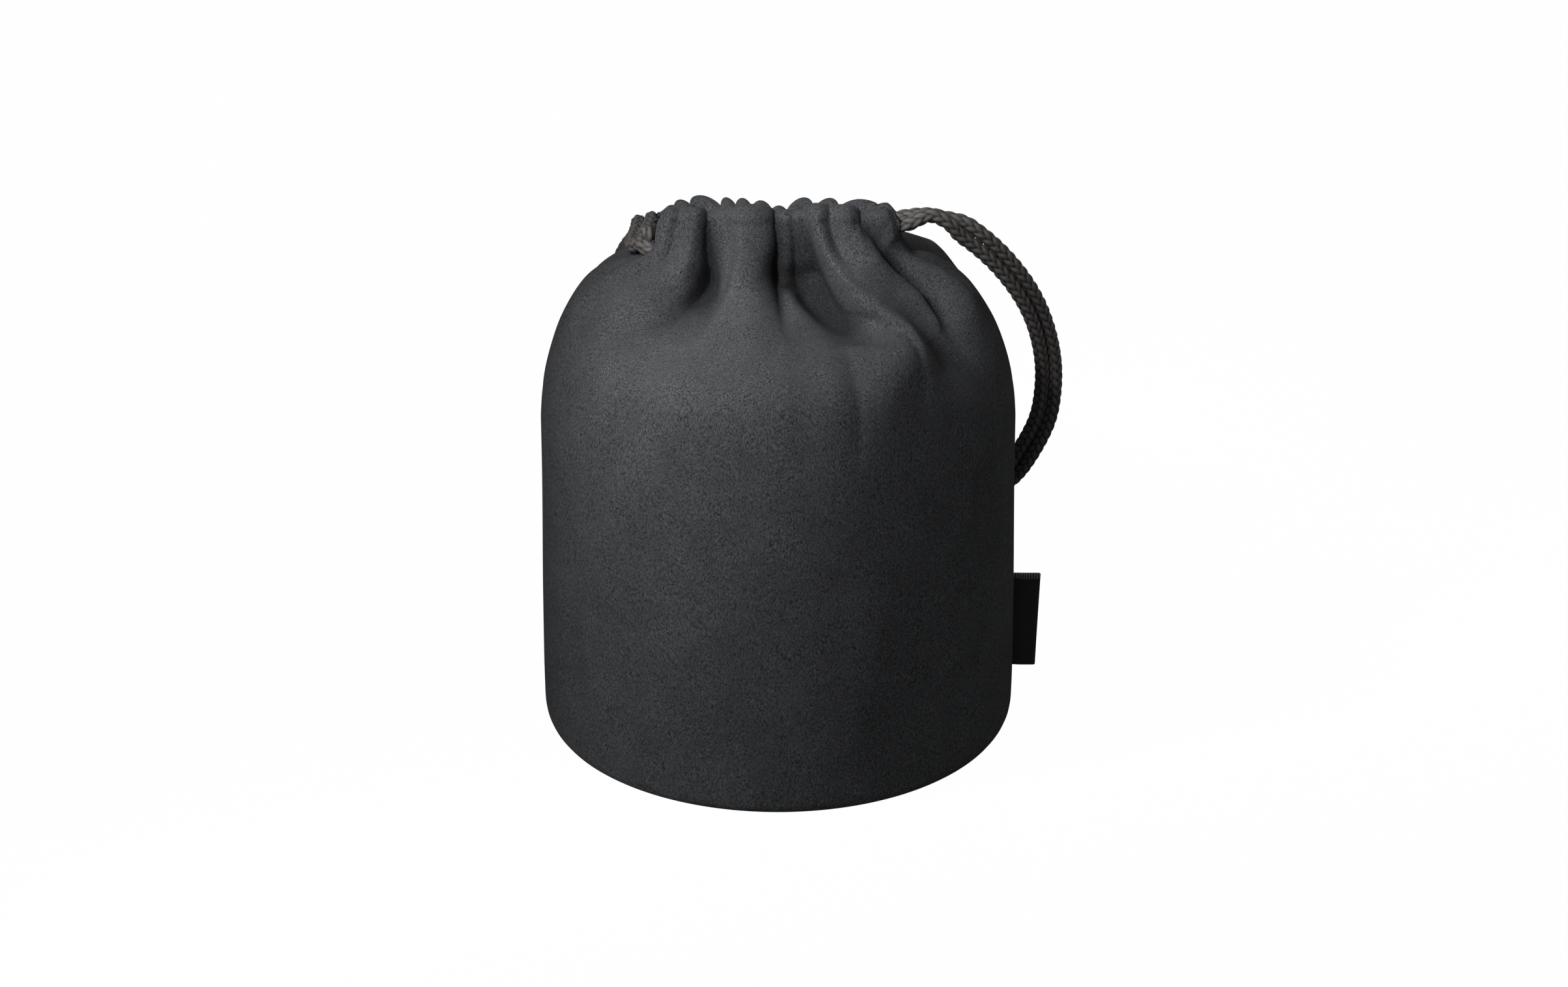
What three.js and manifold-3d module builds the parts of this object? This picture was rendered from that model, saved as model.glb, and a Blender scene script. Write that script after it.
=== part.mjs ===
// A drawstring lens pouch: a round padded body of suede cloth with a gathered mouth, closed by two cords.
// Millimetres, +Z up. The origin is the middle of the base on the floor and the front faces -Y.
// The label and the cord that shows from the front are on the +X side.
import * as THREE from "three";
import { mergeVertices } from "three/addons/utils/BufferGeometryUtils.js";
import Module from "manifold-3d";

const wasm = await Module();
wasm.setup();

// Body cloth
const bodyRadius = 50;
const clothThickness = 1.3;
const baseEdgeRadius = 5;
const seamAllowance = 2.8;
const clearance = 0.3;

// Shoulder: the wall leans in from shoulderHeight, and the lips fold open at lipHingeHeight.
// The two powers set how the lean and the rise share the curve.
const shoulderHeight = 70;
const lipHingeHeight = 82;
const lipHalfWidth = 25;
const shoulderLean = 1.92;
const shoulderRise = 0.808;
const pleatCount = 8;
const pleatDepth = 2.4;
const pleatGrowth = 1.2;

// Mouth: two casings, each a folded hem around a flat tunnel that holds both cords, one above the other.
// The foot and the head are the tunnel's room below the lower cord and above the upper one.
const casingBottom = 103.5;
const casingSeam = 2;
const tunnelFoot = 3.7;
const tunnelHead = 1.9;
const mouthHalfWidth = 26;
const mouthGap = 5.6;
const mouthOverhang = 2.5;
const mouthSquareness = 2.6;
const rimPleatDepth = 1.1;

// Padding and linings
const wallFoamThickness = 3;
const liningThickness = 0.8;
const basePadThickness = 4;

// Cords
const cordDiameter = 3.2;
const cordSpacing = 4.4;
const exitLength = 4.7;
const strandSpacing = 3.5;
const knotRadius = 6;
const knotLength = 13;
const tailLength = 7;

// Label: a woven tape folded double, sewn into the right side seam
const labelWidth = 5.8;
const labelHeight = 21.8;
const labelBottom = 9.5;
const labelThickness = 1.8;
const tapeThickness = 0.5;
const labelSeamGap = 0.6;

// Sizes that follow from those above
const tunnelWidth = cordDiameter + 2 * clearance;
const casingHalf = tunnelWidth / 2 + clothThickness;
const cordRadius = cordDiameter / 2;
const lowerCordHeight = casingBottom + casingSeam + tunnelFoot + cordRadius;
const upperCordHeight = lowerCordHeight + cordSpacing;
const casingTop = upperCordHeight + cordRadius + tunnelHead + clothThickness;
const domeTop = casingBottom - clearance;
const mouthHalfDepth = mouthGap / 2 + 2 * casingHalf;
const wallInside = bodyRadius - clothThickness;
const foamOutside = wallInside - clearance;
const foamInside = foamOutside - wallFoamThickness;
const liningOutside = foamInside - clearance;
const liningInside = liningOutside - liningThickness;
const baseInside = clothThickness + clearance;
const basePadTop = baseInside + basePadThickness;
const wallFoamTop = shoulderHeight - clearance;
const sewnThickness = 2 * tapeThickness;

// Far more than any size here, for boxes that cut
const beyond = 4 * (bodyRadius + casingTop);

const suede = { color: 0x3d4044, roughness: 0.95 };
const foam = { color: 0x2b2c2e, roughness: 1 };
const lining = { color: 0x54575b, roughness: 0.9 };
const cordBraid = { color: 0x161618, roughness: 0.8 };
const wovenTape = { color: 0x1c1c1f, roughness: 0.6 };

const pouch = new THREE.Group();

function addPiece(name, geometry, look) {
  const mesh = new THREE.Mesh(geometry, new THREE.MeshStandardMaterial({ ...look, metalness: 0 }));
  mesh.name = name;
  pouch.add(mesh);
  return mesh;
}

// Joins and cuts work on solids: a closed geometry goes in, and one comes back
function solidOf(geometry) {
  const bare = geometry.clone();
  bare.deleteAttribute("normal");
  bare.deleteAttribute("uv");
  const merged = mergeVertices(bare, 1e-4);
  const vertProperties = new Float32Array(merged.attributes.position.array);
  const triVerts = new Uint32Array(merged.index.array);
  return new wasm.Manifold(new wasm.Mesh({ numProp: 3, vertProperties, triVerts }));
}

function geometryOf(solid) {
  const mesh = solid.getMesh();
  const geometry = new THREE.BufferGeometry();
  geometry.setAttribute("position", new THREE.BufferAttribute(new Float32Array(mesh.vertProperties), 3));
  geometry.setIndex(new THREE.BufferAttribute(new Uint32Array(mesh.triVerts), 1));
  geometry.computeVertexNormals();
  return geometry;
}

function boxSolid(low, high) {
  const size = high.map((value, axis) => value - low[axis]);
  const box = new THREE.BoxGeometry(...size);
  box.translate(...high.map((value, axis) => (value + low[axis]) / 2));
  return solidOf(box);
}

// A closed skin between two grids of points, outside and inside, each a list of rows
function shellGeometry(outside, inside) {
  const rows = outside.length;
  const columns = outside[0].length;
  const positions = [...outside.flat(), ...inside.flat()].flatMap((p) => [p.x, p.y, p.z]);
  const index = [];
  const quad = (a, b, c, d) => index.push(a, b, c, a, c, d);
  const out = (row, column) => row * columns + column;
  const inn = (row, column) => rows * columns + row * columns + column;
  for (let r = 0; r + 1 < rows; r++) {
    for (let c = 0; c + 1 < columns; c++) {
      quad(out(r, c), out(r, c + 1), out(r + 1, c + 1), out(r + 1, c));
      quad(inn(r, c), inn(r + 1, c), inn(r + 1, c + 1), inn(r, c + 1));
    }
  }
  const last = columns - 1;
  for (let r = 0; r + 1 < rows; r++) {
    quad(out(r, 0), out(r + 1, 0), inn(r + 1, 0), inn(r, 0));
    quad(out(r, last), inn(r, last), inn(r + 1, last), out(r + 1, last));
  }
  const top = rows - 1;
  for (let c = 0; c + 1 < columns; c++) {
    quad(out(0, c), inn(0, c), inn(0, c + 1), out(0, c + 1));
    quad(out(top, c), out(top, c + 1), inn(top, c + 1), inn(top, c));
  }
  const geometry = new THREE.BufferGeometry();
  geometry.setAttribute("position", new THREE.Float32BufferAttribute(positions, 3));
  geometry.setIndex(index);
  return geometry;
}

const signedPower = (value, power) => Math.sign(value) * Math.abs(value) ** power;

// The body's profile runs in three stretches: the turned-in base edge, the straight wall and the shoulder.
// A point is found by its stretch, how far along it lies (0 to 1), and the angle from the front.
function bodyPoint(stretch, along, angle) {
  const circle = new THREE.Vector2(Math.sin(angle), -Math.cos(angle));
  if (stretch === "base") {
    const turn = (along * Math.PI) / 2;
    const radius = bodyRadius - baseEdgeRadius * (1 - Math.sin(turn));
    const height = clearance + baseEdgeRadius * (1 - Math.cos(turn));
    return new THREE.Vector3(circle.x * radius, circle.y * radius, height);
  }
  if (stretch === "wall") {
    const wallBottom = clearance + baseEdgeRadius;
    const height = wallBottom + along * (shoulderHeight - wallBottom);
    return new THREE.Vector3(circle.x * bodyRadius, circle.y * bodyRadius, height);
  }
  const lean = (along * Math.PI) / 2;
  const outwards = Math.abs(Math.cos(lean)) ** shoulderLean;
  const rise = Math.sin(lean) ** shoulderRise;
  const halfWidth = mouthHalfWidth + mouthOverhang;
  const mouthX = halfWidth * signedPower(Math.sin(angle), 2 / mouthSquareness);
  const mouthY = -mouthHalfDepth * signedPower(Math.cos(angle), 2 / mouthSquareness);
  return new THREE.Vector3(
    mouthX + (circle.x * bodyRadius - mouthX) * outwards,
    mouthY + (circle.y * bodyRadius - mouthY) * outwards,
    shoulderHeight + rise * (domeTop - shoulderHeight),
  );
}

function bodyNormal(stretch, along, angle) {
  const step = 1e-3;
  const low = Math.max(along - step, 1e-6);
  const high = Math.min(along + step, 1 - 1e-6);
  const up = bodyPoint(stretch, high, angle).sub(bodyPoint(stretch, low, angle));
  const round = bodyPoint(stretch, along, angle + step).sub(bodyPoint(stretch, along, angle - step));
  return round.cross(up).normalize();
}

// Half of the body cloth, from the base seam to the mouth, with pleats that deepen towards the mouth
function frontCloth() {
  const columns = 48;
  const stations = [];
  const baseSteps = 3;
  const shoulderSteps = 8;
  for (let i = 0; i < baseSteps; i++) stations.push(["base", i / baseSteps]);
  stations.push(["wall", 0]);
  for (let i = 0; i <= shoulderSteps; i++) stations.push(["shoulder", i / shoulderSteps]);
  const outside = [];
  const inside = [];
  for (const [stretch, along] of stations) {
    const outerRow = [];
    const innerRow = [];
    const gathered = stretch === "shoulder" ? (1 - Math.cos((along * Math.PI) / 2)) ** pleatGrowth : 0;
    for (let c = 0; c <= columns; c++) {
      const angle = -Math.PI / 2 + (Math.PI * c) / columns;
      const point = bodyPoint(stretch, along, angle);
      const normal = bodyNormal(stretch, along, angle);
      const valley = (gathered * pleatDepth * (1 - Math.cos(2 * pleatCount * angle))) / 2;
      const depth = clothThickness + gathered * pleatDepth;
      outerRow.push(point.clone().addScaledVector(normal, -valley));
      innerRow.push(point.clone().addScaledVector(normal, -depth));
    }
    outside.push(outerRow);
    inside.push(innerRow);
  }
  return solidOf(shellGeometry(outside, inside));
}

// The cloth is cut in two where it folds: the panel keeps the wall and both side shoulders, and the
// gather is the middle of the lip. Seam allowances stand inwards along both side seams.
const halfSeam = clearance / 2;
const wholeCloth = frontCloth().intersect(
  boxSolid([-beyond, -beyond, -beyond], [beyond, -halfSeam, beyond]),
);
const lipSpace = boxSolid(
  [-lipHalfWidth - clearance, -beyond, lipHingeHeight - clearance],
  [lipHalfWidth + clearance, beyond, beyond],
);
const lipKept = boxSolid([-lipHalfWidth, -beyond, lipHingeHeight], [lipHalfWidth, beyond, beyond]);
const labelSlot = boxSolid(
  [0, -sewnThickness / 2 - clearance, labelBottom - clearance],
  [beyond, sewnThickness / 2 + clearance, labelBottom + labelHeight + clearance],
);

function allowance(side) {
  const inner = side * (wallInside - seamAllowance);
  const outer = side * (wallInside + clothThickness / 2);
  return boxSolid(
    [Math.min(inner, outer), -halfSeam - clothThickness, basePadTop + clearance],
    [Math.max(inner, outer), -halfSeam, shoulderHeight],
  );
}

const frontPanel = wholeCloth
  .subtract(lipSpace)
  .add(allowance(1))
  .add(allowance(-1))
  .subtract(labelSlot);
const frontGather = wholeCloth.intersect(lipKept);
const facingBack = (solid) => solid.mirror([0, 1, 0]);

addPiece("front_panel", geometryOf(frontPanel), suede);
addPiece("back_panel", geometryOf(facingBack(frontPanel)), suede);
addPiece("front_gather", geometryOf(frontGather), suede);
addPiece("back_gather", geometryOf(facingBack(frontGather)), suede);

// Casing: the hem is turned over at the rim and sewn down at its lower edge, with the tunnel between
const casingCentre = (x) => {
  const closeness = (1 + Math.cos((Math.PI * x) / mouthHalfWidth)) / 2;
  return casingHalf + clearance + (mouthGap / 2 - clearance) * closeness;
};

function hemLoop(half, bottom, top) {
  const loop = [[-half, bottom]];
  const arcSteps = 4;
  for (let i = 0; i <= arcSteps; i++) {
    const turn = Math.PI - (Math.PI * i) / arcSteps;
    loop.push([half * Math.cos(turn), top - half + half * Math.sin(turn)]);
  }
  loop.push([half, bottom]);
  return loop;
}

function frontCasing() {
  const steps = 32;
  const hem = hemLoop(casingHalf, casingBottom, casingTop);
  const tunnel = hemLoop(tunnelWidth / 2, casingBottom + casingSeam, casingTop - clothThickness);
  const count = hem.length;
  const positions = [];
  for (let i = 0; i <= steps; i++) {
    const x = -mouthHalfWidth + (2 * mouthHalfWidth * i) / steps;
    const centre = -casingCentre(x);
    const fullness = (1 - Math.cos((pleatCount * Math.PI * (x + mouthHalfWidth)) / mouthHalfWidth)) / 2;
    for (const [across, height] of hem) {
      const bulge = across < 0 ? (rimPleatDepth * fullness * -across) / casingHalf : 0;
      positions.push(x, centre + across - bulge, height);
    }
    for (const [across, height] of tunnel) positions.push(x, centre + across, height);
  }
  const index = [];
  const quad = (a, b, c, d) => index.push(a, c, b, a, d, c);
  const ring = 2 * count;
  for (let i = 0; i < steps; i++) {
    for (let k = 0; k < count; k++) {
      const here = i * ring + k;
      const next = i * ring + ((k + 1) % count);
      quad(here, next, next + ring, here + ring);
      quad(here + count, here + count + ring, next + count + ring, next + count);
    }
  }
  const far = steps * ring;
  for (let k = 0; k < count; k++) {
    const next = (k + 1) % count;
    quad(k, k + count, next + count, next);
    quad(far + k, far + next, far + next + count, far + k + count);
  }
  const geometry = new THREE.BufferGeometry();
  geometry.setAttribute("position", new THREE.Float32BufferAttribute(positions, 3));
  geometry.setIndex(index);
  return solidOf(geometry);
}

const frontCasingSolid = frontCasing();
addPiece("front_casing", geometryOf(frontCasingSolid), suede);
addPiece("back_casing", geometryOf(facingBack(frontCasingSolid)), suede);

// Padding and lining of the wall, in halves that stop short of the seam allowances
function halfRing(outerRadius, innerRadius, gap, bottom, top, turn) {
  const outerEdge = Math.asin(gap / outerRadius);
  const innerEdge = Math.asin(gap / innerRadius);
  const shape = new THREE.Shape();
  shape.absarc(0, 0, outerRadius, outerEdge, Math.PI - outerEdge, false);
  shape.absarc(0, 0, innerRadius, Math.PI - innerEdge, innerEdge, true);
  const ring = new THREE.ExtrudeGeometry(shape, {
    depth: top - bottom,
    bevelEnabled: false,
    curveSegments: 18,
  });
  ring.rotateZ(turn);
  ring.translate(0, 0, bottom);
  return ring;
}

const wallFoamBottom = basePadTop + clearance;
const foamSeamGap = halfSeam + clothThickness + clearance;
for (const [half, turn] of [
  ["front", Math.PI],
  ["back", 0],
]) {
  const padding = halfRing(foamOutside, foamInside, foamSeamGap, wallFoamBottom, wallFoamTop, turn);
  addPiece(half + "_wall_foam", padding, foam);
  const inner = halfRing(liningOutside, liningInside, halfSeam, wallFoamBottom, wallFoamTop, turn);
  addPiece(half + "_wall_lining", inner, lining);
}

// Base: the outer disc meets the turned-in wall, and a foam disc and a lining disc lie on it
function disc(radius, bottom, thickness) {
  const round = new THREE.CylinderGeometry(radius, radius, thickness, 48);
  round.rotateX(Math.PI / 2);
  round.translate(0, 0, bottom + thickness / 2);
  return round;
}

const baseRadius = bodyRadius - baseEdgeRadius - clearance;
addPiece("base_disc", disc(baseRadius, 0, clothThickness), suede);
addPiece("base_pad", disc(baseRadius - clearance, baseInside, basePadThickness), foam);
addPiece("base_lining", disc(liningInside - clearance, basePadTop + clearance, liningThickness), lining);

// Cord: a round braid, drawn as a tube of eight sides along its route
function cordTube(points, steps) {
  const section = new THREE.Shape();
  const sides = 8;
  for (let i = 0; i < sides; i++) {
    const turn = (2 * Math.PI * i) / sides;
    const x = cordRadius * Math.cos(turn);
    const y = cordRadius * Math.sin(turn);
    if (i === 0) section.moveTo(x, y);
    else section.lineTo(x, y);
  }
  section.closePath();
  const route = new THREE.CatmullRomCurve3(points, false, "centripetal");
  return new THREE.ExtrudeGeometry(section, { steps, extrudePath: route, bevelEnabled: false });
}

// Inside the casings the right cord runs in the upper part of the tunnel and the left cord in the lower.
// Each cord turns back at the end opposite its own exit.
const runSteps = 12;
const casingEnd = casingCentre(mouthHalfWidth);
const cordLevels = { right: upperCordHeight, left: lowerCordHeight };
for (const [cord, height] of Object.entries(cordLevels)) {
  for (const [half, side] of [
    ["front", -1],
    ["back", 1],
  ]) {
    const points = [];
    for (let i = 0; i <= runSteps; i++) {
      const x = -mouthHalfWidth + (2 * mouthHalfWidth * i) / runSteps;
      points.push(new THREE.Vector3(x, side * casingCentre(x), height));
    }
    addPiece(`${cord}_cord_${half}_run`, cordTube(points, runSteps), cordBraid);
  }
  const farSide = cord === "right" ? -1 : 1;
  const turnPoints = [];
  for (let i = 0; i <= 8; i++) {
    const swing = -Math.PI / 2 + (Math.PI * i) / 8;
    const reach = mouthHalfWidth + clearance + casingEnd * Math.cos(swing);
    turnPoints.push(new THREE.Vector3(farSide * reach, casingEnd * Math.sin(swing), height));
  }
  addPiece(`${cord}_cord_turn`, cordTube(turnPoints, 10), cordBraid);
}

// Free ends: both ends of a cord leave the casing on one side, lie together and hang to a knot.
// Each route is the line between the two strands, and each pair direction points from the front
// strand to the back one at that share of the way.
const freeCords = {
  right: {
    route: [
      [31.3, 0, 115.2], [35.3, 0.3, 114.3], [38.8, 0.8, 112.6], [42.2, 1.6, 110], [45.3, 2.6, 106.6],
      [48.5, 4, 102.2], [51.2, 5.8, 97.5], [53.6, 8, 91.9], [55.7, 10.4, 85.1], [57.1, 13, 77.2],
      [57.5, 15, 71], [57.1, 17.6, 62.9], [56.1, 19.6, 57.4], [54.4, 21.8, 52.9], [51.9, 24.6, 46.9],
      [49.4, 27.8, 41.5], [46.8, 31.2, 36.5], [44.7, 34.6, 32], [43.2, 37, 28], [42.5, 38.2, 24.5],
      [42.4, 38.4, 22],
    ],
    pair: [
      [0, [0, 0.905, -0.42]], [0.12, [0.1, 0.95, -0.3]], [0.3, [0.606, 0.785, 0.077]],
      [0.5, [0.73, 0.645, -0.22]], [0.7, [0.7, 0.6, -0.4]], [1, [0.737, 0.676, 0]],
    ],
  },
  left: {
    route: [
      [-31.3, 0, 110.8], [-33.4, 0.4, 110.5], [-35.2, 2.6, 108.9], [-36.5, 6.2, 106.4], [-37.5, 10.4, 103.6],
      [-38.7, 15, 100], [-40.2, 20.5, 95], [-42, 27, 88.5], [-42.8, 31.5, 81], [-43, 34, 73],
      [-42.6, 35.8, 65], [-42, 37.4, 57], [-41.3, 38.7, 49], [-40.7, 39.7, 41], [-40.2, 40.4, 33],
      [-40, 40.8, 27], [-40, 40.9, 22],
    ],
    pair: [
      [0, [0, 1, 0]], [0.18, [0.645, 0.585, 0.455]], [0.4, [0.62, 0.75, 0.25]], [1, [0.6, 0.8, 0]],
    ],
  },
};

function pairDirection(pair, share) {
  const after = Math.max(1, pair.findIndex(([at]) => at >= share));
  const [fromShare, from] = pair[after - 1];
  const [toShare, to] = pair[after];
  const mix = (share - fromShare) / (toShare - fromShare);
  return new THREE.Vector3(...from).lerp(new THREE.Vector3(...to), mix);
}

for (const [cord, { route, pair }] of Object.entries(freeCords)) {
  const outwards = cord === "right" ? 1 : -1;
  const middle = new THREE.CatmullRomCurve3(
    route.map((p) => new THREE.Vector3(...p)),
    false,
    "centripetal",
  );
  const stepCount = 24;
  for (const [half, side] of [
    ["front", -1],
    ["back", 1],
  ]) {
    const points = [];
    for (let i = 0; i <= stepCount; i++) {
      const share = i / stepCount;
      const tangent = middle.getTangentAt(share);
      const across = pairDirection(pair, share);
      across.addScaledVector(tangent, -across.dot(tangent)).normalize();
      points.push(middle.getPointAt(share).addScaledVector(across, (side * strandSpacing) / 2));
    }

    // The short stretch in the exit goes from the tunnel's end to the start of the free strand, and
    // both lie square to the gap between them
    const start = new THREE.Vector3(
      outwards * (mouthHalfWidth + clearance),
      side * casingEnd,
      cordLevels[cord],
    );
    const end = points[0].clone();
    end.x -= outwards * clearance;
    const ease = new THREE.Vector3((outwards * exitLength) / 4, 0, 0);
    const exitPoints = [start, start.clone().add(ease), end.clone().sub(ease), end];
    addPiece(`${cord}_${half}_exit`, cordTube(exitPoints, 6), cordBraid);
    points.splice(1, 0, points[0].clone().add(ease));
    addPiece(`${cord}_${half}_strand`, cordTube(points, 26), cordBraid);
  }

  // Overhand knot in the doubled end, with the two tails side by side below it
  const profile = [[0, -1], [0.6, -1], [0.88, -0.84], [1, -0.5], [0.88, -0.16], [0.6, 0], [0, 0]];
  const lump = new THREE.LatheGeometry(
    profile.map(([out, down]) => new THREE.Vector2(out * knotRadius, down * knotLength)),
    20,
  );
  lump.rotateX(Math.PI / 2);
  const apart = pairDirection(pair, 1).setLength(strandSpacing / 2);
  const tails = [-1, 1].map((side) => {
    const knotMiddle = apart.clone().multiplyScalar(side);
    knotMiddle.z = -knotLength / 2;
    const tip = knotMiddle.clone();
    tip.z = -knotLength - tailLength;
    return solidOf(cordTube([knotMiddle, tip], 1));
  });
  const tied = addPiece(`${cord}_knot`, geometryOf(solidOf(lump).add(tails[0]).add(tails[1])), cordBraid);
  tied.position.set(...route.at(-1));
  tied.position.z -= clearance;
}

// Label: the tape's two layers meet at the seam and open into a round fold at the outer edge
function foldOutline(start, half, tip) {
  const outline = new THREE.Shape();
  const fold = tip - half;
  outline.moveTo(start, -tapeThickness);
  outline.lineTo(fold, -half);
  outline.absarc(fold, 0, half, -Math.PI / 2, Math.PI / 2, false);
  outline.lineTo(start, tapeThickness);
  return outline;
}

const flapStart = bodyRadius + labelSeamGap;
const flapEnd = flapStart + labelWidth;
const flapOutline = foldOutline(flapStart, labelThickness / 2, flapEnd);
const slit = new THREE.Path();
const slitHalf = labelThickness / 2 - tapeThickness;
const slitFold = flapEnd - labelThickness / 2;
slit.moveTo(flapStart + labelWidth / 4, 0);
slit.lineTo(slitFold, slitHalf);
slit.absarc(slitFold, 0, slitHalf, Math.PI / 2, -Math.PI / 2, true);
flapOutline.holes.push(slit);
const flap = new THREE.ExtrudeGeometry(flapOutline, {
  depth: labelHeight,
  bevelEnabled: false,
  curveSegments: 6,
});
flap.translate(0, 0, labelBottom);
addPiece("label_flap", flap, wovenTape);

const sewnLength = seamAllowance + clothThickness;
const sewnTape = new THREE.BoxGeometry(sewnLength, sewnThickness, labelHeight);
const labelTail = addPiece("label_tail", sewnTape, wovenTape);
labelTail.position.set(bodyRadius - sewnLength / 2, 0, labelBottom + labelHeight / 2);

export default pouch;
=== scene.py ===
import math

import bpy
import numpy as np
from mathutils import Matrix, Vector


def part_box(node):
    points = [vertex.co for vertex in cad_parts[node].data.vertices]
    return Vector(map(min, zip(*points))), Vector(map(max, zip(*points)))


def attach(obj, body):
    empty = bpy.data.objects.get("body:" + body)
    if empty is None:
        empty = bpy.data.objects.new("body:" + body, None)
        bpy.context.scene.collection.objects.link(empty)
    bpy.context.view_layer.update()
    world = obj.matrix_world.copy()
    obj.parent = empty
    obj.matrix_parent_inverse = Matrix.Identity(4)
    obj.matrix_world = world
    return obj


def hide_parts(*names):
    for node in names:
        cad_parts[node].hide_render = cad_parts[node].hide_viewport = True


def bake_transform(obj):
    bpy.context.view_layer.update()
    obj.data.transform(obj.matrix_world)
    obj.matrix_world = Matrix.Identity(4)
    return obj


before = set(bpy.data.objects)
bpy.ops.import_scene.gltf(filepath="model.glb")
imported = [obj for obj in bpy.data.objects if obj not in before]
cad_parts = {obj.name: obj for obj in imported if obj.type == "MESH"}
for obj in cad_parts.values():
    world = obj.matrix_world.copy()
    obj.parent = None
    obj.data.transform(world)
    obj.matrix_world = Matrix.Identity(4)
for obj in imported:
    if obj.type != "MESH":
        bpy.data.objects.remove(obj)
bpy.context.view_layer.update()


# Base disc: the round bottom of the pouch, cut from the same microfibre suede as the body and sewn to it
# from inside, so that only its flat face and a soft edge show from below.
MM = 0.001
NAP_WIDTH, NAP_LENGTH = 0.26, 0.55
BASE_RADIUS = 1000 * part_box("base_disc")[1][0]
BASE_THICKNESS = 1000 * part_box("base_disc")[1][2]


def linear(hex_colour):
    """The linear colour, with alpha, of an sRGB hex value."""
    parts = [int(hex_colour[i:i + 2], 16) / 255 for i in (1, 3, 5)]
    return [p / 12.92 if p <= 0.04045 else ((p + 0.055) / 1.055) ** 2.4 for p in parts] + [1.0]


def set_inputs(tree, node, inputs):
    """Sets a node's inputs to values, or links them to other nodes' outputs."""
    for socket, value in inputs.items():
        if isinstance(value, bpy.types.NodeSocket):
            tree.links.new(value, node.inputs[socket])
        else:
            node.inputs[socket].default_value = value


def add_node(tree, kind, inputs=None, **settings):
    """A shader node of a kind, with its settings and its inputs."""
    node = tree.nodes.new("ShaderNode" + kind)
    for name, value in settings.items():
        setattr(node, name, value)
    set_inputs(tree, node, inputs or {})
    return node


def ranged(tree, value, low, high, new_low=0.0, new_high=1.0):
    """The value with the range from low to high stretched to the new one, and held at its ends."""
    inputs = {"Value": value, "From Min": low, "From Max": high, "To Min": new_low, "To Max": new_high}
    return add_node(tree, "MapRange", inputs).outputs["Result"]


def scaled(tree, vector, times):
    """The colour or vector times a number."""
    return add_node(tree, "VectorMath", {0: vector, "Scale": times}, operation="SCALE").outputs["Vector"]


def mixed_colour(tree, share, first, second):
    """A colour between two sRGB hex values."""
    inputs = {"Factor": share, "A": linear(first), "B": linear(second)}
    return add_node(tree, "Mix", inputs, data_type="RGBA").outputs[2]


def bumped(tree, height, strength, distance):
    """The normal of a surface with fine relief, its distance in millimetres."""
    inputs = {"Height": height, "Strength": strength, "Distance": distance * MM}
    return add_node(tree, "Bump", inputs).outputs["Normal"]


def start_material(name):
    """A new material, its node tree and its Principled shader."""
    material = bpy.data.materials.new(name)
    material.use_nodes = True
    return material, material.node_tree, material.node_tree.nodes["Principled BSDF"]


def microfibre_suede():
    """Microfibre suede: a non-woven sheet of very fine fibres, sanded to a short nap. The eye sees small
    strokes of lighter and darker fibre, soft cloudy patches where the nap is stroked, and no gloss. Deep in
    the folds the colour is darkened, which is painted shade.
    The real fibres are finer than a pixel, so the strokes are drawn about twice as coarse as they are."""
    material, tree, shader = start_material("microfibre_suede")
    rest = add_node(tree, "Attribute", attribute_name="rest_mm").outputs["Vector"]
    depth = add_node(tree, "Attribute", attribute_name="fold_depth").outputs["Fac"]
    swirl = add_node(tree, "TexNoise", {"Vector": rest, "Scale": 1 / 8, "Detail": 1.0})
    bend = scaled(tree, swirl.outputs["Color"], 5.0)
    combed = add_node(tree, "VectorMath", {0: rest, 1: bend}, operation="ADD").outputs["Vector"]
    nap_size = (1 / NAP_WIDTH, 1 / NAP_WIDTH, 1 / NAP_LENGTH)
    strokes_way = add_node(tree, "Mapping", {"Vector": combed, "Scale": nap_size}).outputs["Vector"]
    strokes = add_node(tree, "TexNoise", {"Vector": strokes_way, "Scale": 1.0, "Detail": 3.0, "Roughness": 0.62})
    clouds = add_node(tree, "TexNoise", {"Vector": rest, "Scale": 1 / 9, "Detail": 4.0})
    fibre = ranged(tree, strokes.outputs["Fac"], 0.3, 0.76)
    tone = mixed_colour(tree, fibre, "#1f2021", "#838589")
    stroked = scaled(tree, tone, ranged(tree, clouds.outputs["Fac"], 0.3, 0.7, 0.9, 1.1))
    # Painted shade: the colour is darkened where the cloth lies deep in a fold, down to 0.3 of it.
    shaded_in_folds = scaled(tree, stroked, ranged(tree, depth, 0.2, 2.4, 1.0, 0.3))
    set_inputs(tree, shader, {
        "Base Color": shaded_in_folds, "Normal": bumped(tree, fibre, 0.5, 0.12), "Roughness": 0.85, "Specular IOR Level": 0.3,
        "Sheen Weight": 0.05, "Sheen Roughness": 0.45, "Sheen Tint": linear("#c9ccd2"),
    })
    return material


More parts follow.
